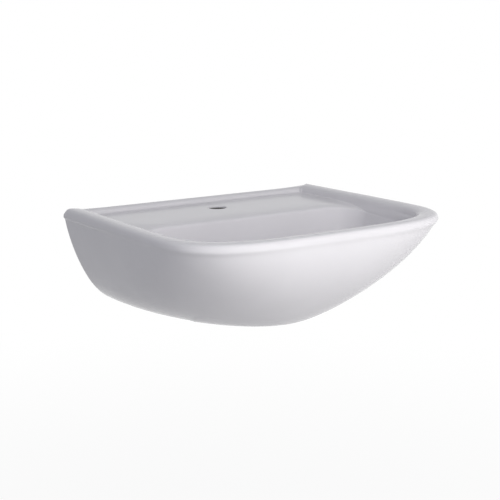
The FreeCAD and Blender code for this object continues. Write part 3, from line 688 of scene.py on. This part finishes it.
def tapTool():
    # mouth of the tap hole, which flares in a quarter round into the deck
    radius, lip, bottom = basin["tapHole"], basin["tapLip"], deckZ - basin["tapLip"] - basin["tapLand"]
    turn = np.radians(np.linspace(0, 78, 9))
    flare = [(radius + lip - lip * np.cos(t), deckZ - lip + lip * np.sin(t)) for t in turn]
    wide, edgeZ = flare[-1][0] + 1.5, flare[-1][1] + 0.32
    profile = [(0, bottom), (radius, bottom)] + flare + [(wide, edgeZ), (wide, deckZ + 12), (0, deckZ + 12)]
    return turned("tapTool", profile, (0, -basin["tapReach"], 0), upward, materials["glaze"], 128)


def windowTool():
    # opening for the trap's pipe: two quarter circles over straight legs
    width, height, corner = basin["window"]
    turn = np.radians(np.linspace(0, 90, 9))
    right = [(width / 2 - corner + corner * np.cos(t), height - corner + corner * np.sin(t)) for t in turn]
    left = [(-x, z) for x, z in right[::-1]]
    loop = np.array([(-width / 2, -20), (width / 2, -20)] + right + left) + [0, footZ]
    return prism("windowTool", loop, (0, 2), (-basin["backWall"] - 10, 10), materials["biscuit"])


def cutOverflow(body):
    # duct on the outside of the bowl's front wall, its passage, and the round hole into the bowl
    wall, gap, inside = basin["overflowWall"], basin["overflowGap"], materials["sprayedGlaze"]
    far, top = wall + gap + basin["overflowOuter"], basin["crest"] - basin["overflowDrop"]
    reach, width = basin["wasteReach"], basin["overflowWidth"]
    combine(body, overflowBand("ductTool", 4.0, far, top + 14, reach + 30, seatZ - 6,
                               seatZ - basin["outlet"] + 3, width + 2 * wall, inside), "UNION")
    combine(body, overflowBand("passageTool", wall, wall + gap, top + 12, reach, seatZ - 8,
                               seatZ - 8 - basin["overflowOutlet"], width, inside))
    wallReach = mix(reach + basin["dish"], basin["reach"] - bowlInset, bowlSection[0, 1])
    combine(body, rodTool("overflowTool", (0, 30 - wallReach, top), outward, basin["overflowHole"],
                          30 + wall + 0.5 * gap, materials["glaze"]))


def cutTapHole(body):
    # glazed mouth, then a bore under it that starts half a millimetre inside the mouth, in bare clay darkened
    # to paint the shade inside the hole
    bottom = deckZ - 3 * basin["deckThickness"]
    paintedShadeTop = deckZ - basin["tapLip"] - basin["tapLand"] + 0.5
    combine(body, tapTool())
    combine(body, rodTool("tapBoreTool", (0, -basin["tapReach"], bottom), upward,
                          basin["tapHole"] - basin["tapStep"], paintedShadeTop - bottom, materials["bareBorePaintedShade"], 128))


def makeBasin():
    # the skin's solid less the hollow, flat at the wall, with its duct, holes and window
    inside, biscuit = materials["sprayedGlaze"], materials["biscuit"]
    body = foldChin(solidFromRings("basinCeramic", glazedRings(), materials["glaze"], (5, 6)))
    hollow = solidFromRings("hollowTool", cavityRings(), inside, (3, 4))
    wide, floor = 2 * basin["width"], basin["crest"] - 3 * basin["height"]
    combine(hollow, boxTool("wallTool", (-wide, -basin["backWall"], floor), (wide, 300, 400), biscuit))
    combine(body, boxTool("wallTool", (-wide, 0, floor), (wide, 300, 400), biscuit))
    combine(body, hollow)
    cutOverflow(body)
    combine(body, rodTool("boreTool", wasteCentre + [0, 0, seatZ - 60], upward, basin["wasteBore"], 80,
                          inside))
    cutTapHole(body)
    combine(body, windowTool())
    for side in (-1, 1):
        start = (side * basin["studSpacing"] / 2, 5, 0)
        combine(body, rodTool("fixingTool", start, outward, basin["fixingHole"], basin["backWall"] + 10,
                              biscuit))
    return body


ceramic = makeBasin()
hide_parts("basin_body")
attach(ceramic, "basin")
print("ceramic made:", len(ceramic.data.polygons), "faces")


waste = {
    "flangeRadius": 30.5, "flange": 3.0, "flangeEdge": 1.0, "seal": 1.5, "sealInset": 1.0, "plugSeat": 24.5,
    "plugSeatDepth": 2.0, "tube": 20.6, "tubeWall": 2.0, "tubeLength": 62.0, "tail": 20.95,
    "tailLength": 14.0, "threadFrom": 24.0, "pitch": 2.309, "threadDepth": 1.0, "slotWidth": 12.0,
    "slotHeight": 11.0, "slotBelowSeat": 8.0, "coneRadius": 33.0, "cone": 5.0, "slipRadius": 31.0,
    "slip": 1.6, "nutFlats": 54.0, "nut": 9.0, "bridgeDrop": 36.0, "bridge": 3.0, "arm": 4.0,
    "armTurns": (45, 165, 285), "hub": 8.5, "looseFit": 0.3, "runningFit": 0.05, "sides": 96,
}
flangeTop = seatZ + waste["seal"] + waste["flange"]
outletZ = seatZ - basin["outlet"]


def wasteTube():
    # closed section of flange, tube and tail carried round, its outside cut by the thread's groove
    w = waste
    inside, bottom, under = w["tube"] - w["tubeWall"], seatZ - w["tubeLength"], flangeTop - w["flange"]
    seat = flangeTop - w["plugSeatDepth"]
    outer = np.array(softProfile([
        (w["plugSeat"], seat, 0.3), (w["plugSeat"], flangeTop, 0.3),
        (w["flangeRadius"], flangeTop, w["flangeEdge"]), (w["flangeRadius"], under, 0.4),
        (w["tube"], under, 0),
    ]))
    z = np.arange(under, bottom + 0.4, -w["pitch"] / 10)
    tube = np.where(z > bottom + w["tailLength"], w["tube"], w["tail"])
    inner = np.array([
        (w["tail"] - 0.5, bottom + 0.05), (w["tail"] - 0.9, bottom), (inside + 0.3, bottom),
        (inside, bottom + 0.3), (inside, seat - 0.5), (inside + 0.5, seat),
    ])
    radius = np.vstack([
        np.repeat(outer[:, :1], w["sides"], axis=1),
        threaded(z, tube, w["sides"], w["pitch"], w["threadDepth"], bottom - 1, under - w["threadFrom"]),
        np.repeat(inner[:, :1], w["sides"], axis=1),
    ])
    height = np.concatenate([outer[:, 1], z, inner[:, 1]])
    return ringed("wasteTube", radius, height, wasteCentre, upward, materials["chrome"])


def makeWaste():
    # tube with two crossing slots, and three arms from its wall to a hub in the middle
    w, chrome = waste, materials["chrome"]
    body = wasteTube()
    top, low = seatZ - w["slotBelowSeat"], seatZ - w["slotBelowSeat"] - w["slotHeight"]
    half, reach, y = w["slotWidth"] / 2, 1.5 * w["tube"], -basin["wasteReach"]
    combine(body, boxTool("slotTool", (-half, y - reach, low), (half, y + reach, top), chrome))
    combine(body, boxTool("slotTool", (-reach, y - half, low), (reach, y + half, top), chrome))
    bridgeTop = flangeTop - w["bridgeDrop"]
    bridgeLow, armEnd = bridgeTop - w["bridge"], w["tube"] - 0.5 * w["tubeWall"]
    for turn in w["armTurns"]:
        arm = boxTool("armTool", (0, -w["arm"] / 2, bridgeLow), (armEnd, w["arm"] / 2, bridgeTop), chrome)
        arm.data.transform(Matrix.Rotation(math.radians(turn), 4, "Z"))
        arm.data.transform(Matrix.Translation(Vector(wasteCentre) * mm))
        combine(body, arm, "UNION")
    section = softProfile([(0, bridgeLow, 0), (w["hub"], bridgeLow, 0.5), (w["hub"], bridgeTop, 0.3),
                           (0, bridgeTop, 0)])
    return combine(body, turned("hubTool", section, wasteCentre, upward, chrome, 48), "UNION")


def makeRing(name, outside, inside, low, high, rounding, material, centre=wasteCentre, axis=upward):
    # rectangle with softly rounded corners carried round an axis
    section = softProfile([(inside, low, rounding), (outside, low, rounding), (outside, high, rounding),
                           (inside, high, rounding)])
    return turned(name, section, centre, axis, material)


def makeConeWasher():
    # four-cornered section, narrower at the top, carried round the waste
    low, hole, wide = outletZ - waste["cone"], waste["tube"] + waste["runningFit"], waste["coneRadius"]
    section = softProfile([(hole, low, 0.5), (wide, low, 0.8), (wide - waste["cone"], outletZ, 0.8),
                           (hole, outletZ, 0.5)])
    return turned("coneWasherRubber", section, wasteCentre, upward, materials["rubber"])


def makeHexNut(name, flats, thickness, bore, pitch, centre, axis, material, sides=96):
    # hexagon cut by a cone at its outer end, with a threaded bore; it stands from the centre along the axis
    corner, shoulder = flats / math.sqrt(3), 0.25 * thickness
    z = np.concatenate([[0.0, 0.3], np.linspace(shoulder, thickness, 12)])
    wide, narrow = corner + 0.4 * thickness, 0.46 * flats
    cone = np.where(z <= shoulder, np.inf, wide - (wide - narrow) * (z - shoulder) / (0.75 * thickness))
    outer = np.minimum(hexRadius(flats, sides)[None, :], cone[:, None])
    outer[0] = np.minimum(outer[0], corner - 0.3)
    zIn = np.linspace(thickness, 0, int(thickness / pitch * 10))
    inner = threaded(zIn, np.full(len(zIn), bore), sides, pitch, -0.3 * pitch, 0, thickness)
    return ringed(name, np.vstack([outer, inner]), np.concatenate([z, zIn]), centre, axis, material)


plug = {
    "radius": 30.5, "thickness": 5.0, "dome": 2.2, "edge": 1.2, "seal": 2.6, "spigot": 16.5,
    "spigotLength": 4.0, "stem": 3.5, "grip": 6.0, "socketRoom": 0.3, "sealRoom": 0.5,
}
plugUnder = flangeTop - waste["plugSeatDepth"] + plug["seal"]


def makePlugCap():
    # shallow ball segment over a disc, with a spigot and a blind socket for the stem
    radius, edge, spigot = plug["radius"], plug["edge"], plug["spigot"]
    ball = (radius ** 2 + plug["dome"] ** 2) / (2 * plug["dome"])
    ballZ = plugUnder + plug["thickness"] - ball
    reach = np.linspace(0.0, radius - edge * 1.1, 40)
    dome = [(r, ballZ + math.sqrt(ball ** 2 - r ** 2)) for r in reach]
    edgeTop = ballZ + math.sqrt(ball ** 2 - radius ** 2)
    turn = np.radians(np.linspace(80, 0, 8))
    side = [(radius - edge + edge * math.cos(t), edgeTop - edge + edge * math.sin(t)) for t in turn]
    end, socket = plugUnder - plug["spigotLength"], plug["stem"] + waste["runningFit"]
    socketTop = end + plug["grip"] + plug["socketRoom"]
    under = [(radius, plugUnder + 0.4), (radius - 0.4, plugUnder), (spigot + 0.4, plugUnder),
             (spigot, plugUnder - 0.4), (spigot, end + 0.6), (spigot - 0.6, end), (socket + 0.3, end),
             (socket, end + 0.3), (socket, socketTop), (0.0, socketTop)]
    return turned("plugCapDome", dome + side + under, wasteCentre, upward, materials["chrome"], 128, 30)


def addPiece(piece, node, body):
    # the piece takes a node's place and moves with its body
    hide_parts(node)
    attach(piece, body)


def makeWasteSet():
    # the waste, what seals and clamps it, and the plug, from the flange down
    w, rubber = waste, materials["rubber"]
    loose, running = w["tube"] + w["looseFit"], w["tube"] + w["runningFit"]
    slipTop = outletZ - w["cone"]
    slipLow = slipTop - w["slip"]
    addPiece(makeWaste(), "waste_body", "basin")
    flangeSeal = makeRing("flangeSealRing", w["flangeRadius"] - w["sealInset"], loose, seatZ,
                          seatZ + w["seal"], 0.4, rubber)
    addPiece(flangeSeal, "flange_seal", "basin")
    addPiece(makeConeWasher(), "cone_washer", "basin")
    slip = makeRing("slipRing", w["slipRadius"], loose, slipLow, slipTop, 0.3, materials["nylon"])
    addPiece(slip, "friction_washer", "basin")
    nut = makeHexNut("wasteNut", w["nutFlats"], w["nut"], running, w["pitch"],
                     wasteCentre + np.array([0, 0, slipLow]), (0, 0, -1), materials["brass"])
    addPiece(nut, "backnut", "basin")
    addPiece(makePlugCap(), "plug_cap", "plug")
    plugSeal = makeRing("plugSealRing", w["plugSeat"] - plug["sealRoom"], plug["spigot"] + w["runningFit"],
                        plugUnder - plug["seal"], plugUnder, 0.6, rubber)
    addPiece(plugSeal, "plug_seal", "plug")


makeWasteSet()
print("waste and plug made")


fixing = {
    "bushFlange": 15.0, "bushThickness": 3.0, "bushFromWall": 1.0, "washer": 12.0, "washerThickness": 2.0,
    "nutFlats": 17.0, "nut": 8.0, "pastNut": 10.0, "stud": 5.0, "studThread": 4.8, "pitch": 1.5,
    "threadDepth": 0.45, "chamfer": 0.6, "inWall": 60.0, "point": 8.0, "tip": 1.0, "screwPitch": 3.0,
    "screwDepth": 0.9, "plainWall": 14.0, "plainShank": 4.0, "coverWall": 2.0, "coverRoom": 3.0,
    "coverEdge": 2.5, "looseFit": 0.3, "runningFit": 0.05, "seatGap": 0.02, "sides": 48,
}
washerFrom = basin["backWall"] + fixing["bushThickness"]
nutFrom = washerFrom + fixing["washerThickness"]
studEnd = nutFrom + fixing["nut"] + fixing["pastNut"]


def makeStud(name, centre):
    # wood screw in the wall, machine thread inside; height runs out of the wall along the axis
    f = fixing
    z = np.concatenate([np.arange(-f["inWall"], 0, 0.3), np.arange(0, studEnd - f["chamfer"], 0.15)])
    point = mix(f["tip"], f["stud"], np.clip((z + f["inWall"]) / f["point"], 0, 1))
    plain = np.where(z < 0, point, f["studThread"])
    wood = threaded(z, plain, f["sides"], f["screwPitch"], f["screwDepth"], 1 - f["inWall"], -f["plainWall"])
    machine = threaded(z, plain, f["sides"], f["pitch"], f["threadDepth"], f["plainShank"], studEnd)
    radius = np.where((z < 0)[:, None], wood, machine)
    pole, end = np.zeros((1, f["sides"])), np.full((1, f["sides"]), f["studThread"] - f["chamfer"])
    height = np.concatenate([[-f["inWall"]], z, [studEnd, studEnd]])
    return ringed(name, np.vstack([pole, radius, end, pole]), height, centre, outward, materials["zinc"])


def makeBush(name, centre):
    # sleeve through the hole and a flange on the ceramic, as one section carried round the stud
    f, back = fixing, basin["backWall"]
    start, sleeve, bore = f["bushFromWall"], basin["fixingHole"] - f["looseFit"], f["stud"] + f["looseFit"]
    section = softProfile([(bore, start, 0.3), (sleeve, start, 0.6), (sleeve, back, 0),
                           (f["bushFlange"], back, 0.3), (f["bushFlange"], washerFrom, 0.8),
                           (bore, washerFrom, 0.3)])
    return turned(name, section, centre, outward, materials["nylon"])


def makeCover(name, centre):
    # cap over the nut, open towards the wall
    f = fixing
    inside, hole = studEnd + f["coverRoom"], f["bushFlange"] + f["runningFit"]
    outside, start, end = hole + f["coverWall"], basin["backWall"] + f["seatGap"], inside + f["coverWall"]
    section = softProfile([(hole, start, 0.3), (outside, start, 0.5), (outside, end, f["coverEdge"]),
                           (0, end, 0), (0, inside, 0), (hole, inside, 1.2)])
    return turned(name, section, centre, outward, materials["nylon"])


def makeFixings():
    # stud, bush, washer, nut and cover in a row on each side
    f, zinc = fixing, materials["zinc"]
    for side, sign in (("left", -1), ("right", 1)):
        centre = np.array([sign * basin["studSpacing"] / 2, 0.0, 0.0])
        addPiece(makeStud("studSteel_" + side, centre), "stud_" + side, "basin")
        addPiece(makeBush("bushNylon_" + side, centre), "bush_" + side, "basin")
        washer = makeRing("washerSteel_" + side, f["washer"], f["stud"] + f["looseFit"], washerFrom, nutFrom,
                          0.3, zinc, centre, outward)
        addPiece(washer, "washer_" + side, "basin")
        nut = makeHexNut("nutSteel_" + side, f["nutFlats"], f["nut"], f["studThread"] + f["runningFit"],
                         f["pitch"], centre + [0, -nutFrom, 0], outward, zinc)
        addPiece(nut, "nut_" + side, "basin")
        addPiece(makeCover("coverNylon_" + side, centre), "cover_" + side, "basin")


makeFixings()
print("wall fixings made")

keptNodes = {"plug_stem": "brass", "clicker_cam": "nylon", "clicker_body": "brass",
             "clicker_spring": "springSteel"}
for name, finish in keptNodes.items():
    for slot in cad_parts[name].material_slots:
        slot.material = materials[finish]


room = {"floorDrop": 850.0, "floorHalf": 9000.0, "floorColour": (0.34, 0.34, 0.35), "floorRoughness": 0.8,
        "ambient": 0.33, "ambientColour": (0.93, 0.94, 1.0),
        "shadow": {"From Min": 0.5, "From Max": 2.2, "To Min": 0.93, "To Max": 1.0}}
white = (1, 1, 1, 1)


def whiteShare(tree):
    # 1 for rays from the camera and for those mirrored or let through, 0 for the light on the object
    path = addNode(tree, "ShaderNodeLightPath", -600, 300)
    first = addNode(tree, "ShaderNodeMath", -400, 300, operation="MAXIMUM")
    second = addNode(tree, "ShaderNodeMath", -200, 300, operation="MAXIMUM")
    connect(tree, (path, "Is Camera Ray", first, 0), (path, "Is Glossy Ray", first, 1),
            (first, "Value", second, 0), (path, "Is Transmission Ray", second, 1))
    return second


def blendInto(tree, share, lit, shown, output):
    # output takes the lit shader at share 0 and the shown one at share 1
    blend = addNode(tree, "ShaderNodeMixShader", 300)
    connect(tree, (share, "Value", blend, "Fac"), (lit, 0, blend, 1), (shown, 0, blend, 2),
            (blend, "Shader", tree.nodes[output], "Surface"))


def makeSky():
    # even pale light on the object, plain white where the camera sees past it
    world = bpy.data.worlds.new("room")
    scene.world = world
    world.use_nodes = True
    tree = world.node_tree
    back = tree.nodes["Background"]
    back.inputs["Color"].default_value = (*room["ambientColour"], 1)
    back.inputs["Strength"].default_value = room["ambient"]
    shown = addNode(tree, "ShaderNodeBackground", 0, -200, Color=white)
    blendInto(tree, whiteShare(tree), back, shown, "World Output")


def makeFloor():
    # painted floor that shows white, a little less under the object, so that its shadow stays
    material, tree, shader = newMaterial("floorPaint", Roughness=room["floorRoughness"])
    shader.inputs["Base Color"].default_value = (*room["floorColour"], 1)
    shown = addNode(tree, "ShaderNodeEmission", 0, -300, Color=white)
    place = addNode(tree, "ShaderNodeTexCoord", -600, 0)
    away = addNode(tree, "ShaderNodeVectorMath", -400, 0, operation="LENGTH")
    spread = addNode(tree, "ShaderNodeMapRange", -200, 0, interpolation_type="SMOOTHSTEP", **room["shadow"])
    share = addNode(tree, "ShaderNodeMath", 150, 300, operation="MULTIPLY")
    connect(tree, (place, "Object", away, 0), (away, "Value", spread, "Value"),
            (whiteShare(tree), "Value", share, 0), (spread, "Result", share, 1))
    blendInto(tree, share, shader, shown, "Material Output")
    half, z = room["floorHalf"], basin["crest"] - room["floorDrop"]
    corners = [(-half, -half, z), (half, -half, z), (half, half, z), (-half, half, z)]
    makeObject("floor", corners, [(0, 1, 2, 3)], material)


# azimuth 0 in front of the basin, turning to its right; power in watts
lamps = {
    "keyLight": {"azimuth": 3, "elevation": 24, "power": 20, "colour": (1.0, 0.995, 0.975)},
    "lowLight": {"azimuth": 10, "elevation": -22, "power": 31, "colour": (1.0, 0.995, 0.98)},
    "sideLight": {"azimuth": -78, "elevation": 6, "power": 6, "colour": (0.93, 0.95, 1.0)},
    "topLight": {"azimuth": 0, "elevation": 58, "power": 3.5, "colour": (0.98, 0.98, 1.0)},
}
lampPlace = {"size": 1400.0, "distance": 2200.0, "middle": (0.0, -250.0, 0.0), "lowest": -700.0}
camera = {"azimuth": -34.74, "elevation": 12.39, "distance": 1911.2, "target": (0.0, -200.0, -10.0),
          "lens": 75.28, "shiftX": -0.0026, "shiftY": 0.0136, "clipEnd": 100.0}


def wayTo(place):
    # direction of length 1 to an azimuth and an elevation
    a, e = math.radians(place["azimuth"]), math.radians(place["elevation"])
    return Vector((math.sin(a) * math.cos(e), -math.cos(a) * math.cos(e), math.sin(e)))


def makeLamp(name, lamp):
    # square lamp on a ball round the basin, kept above the floor and turned to the basin's middle
    data = bpy.data.lights.new(name, "AREA")
    data.size = lampPlace["size"] * mm
    data.energy = lamp["power"]
    data.color = lamp["colour"]
    obj = bpy.data.objects.new(name, data)
    scene.collection.objects.link(obj)
    middle = Vector(lampPlace["middle"])
    place = middle + wayTo(lamp) * lampPlace["distance"]
    place.z = max(place.z, lampPlace["lowest"])
    obj.location = place * mm
    obj.rotation_euler = (middle - place).to_track_quat("-Z", "Y").to_euler()


def makeCamera():
    # camera on a ball round its target, looking at it
    data = bpy.data.cameras.new("camera")
    data.lens = camera["lens"]
    data.shift_x, data.shift_y = camera["shiftX"], camera["shiftY"]
    data.clip_end = camera["clipEnd"]
    obj = bpy.data.objects.new("camera", data)
    scene.collection.objects.link(obj)
    back = wayTo(camera)
    obj.location = (Vector(camera["target"]) + back * camera["distance"]) * mm
    obj.rotation_euler = (-back).to_track_quat("-Z", "Y").to_euler()
    scene.camera = obj


makeSky()
makeFloor()
for name, lamp in lamps.items():
    makeLamp(name, lamp)
makeCamera()
scene.view_settings.view_transform = "Standard"
print("room, lights and camera made")
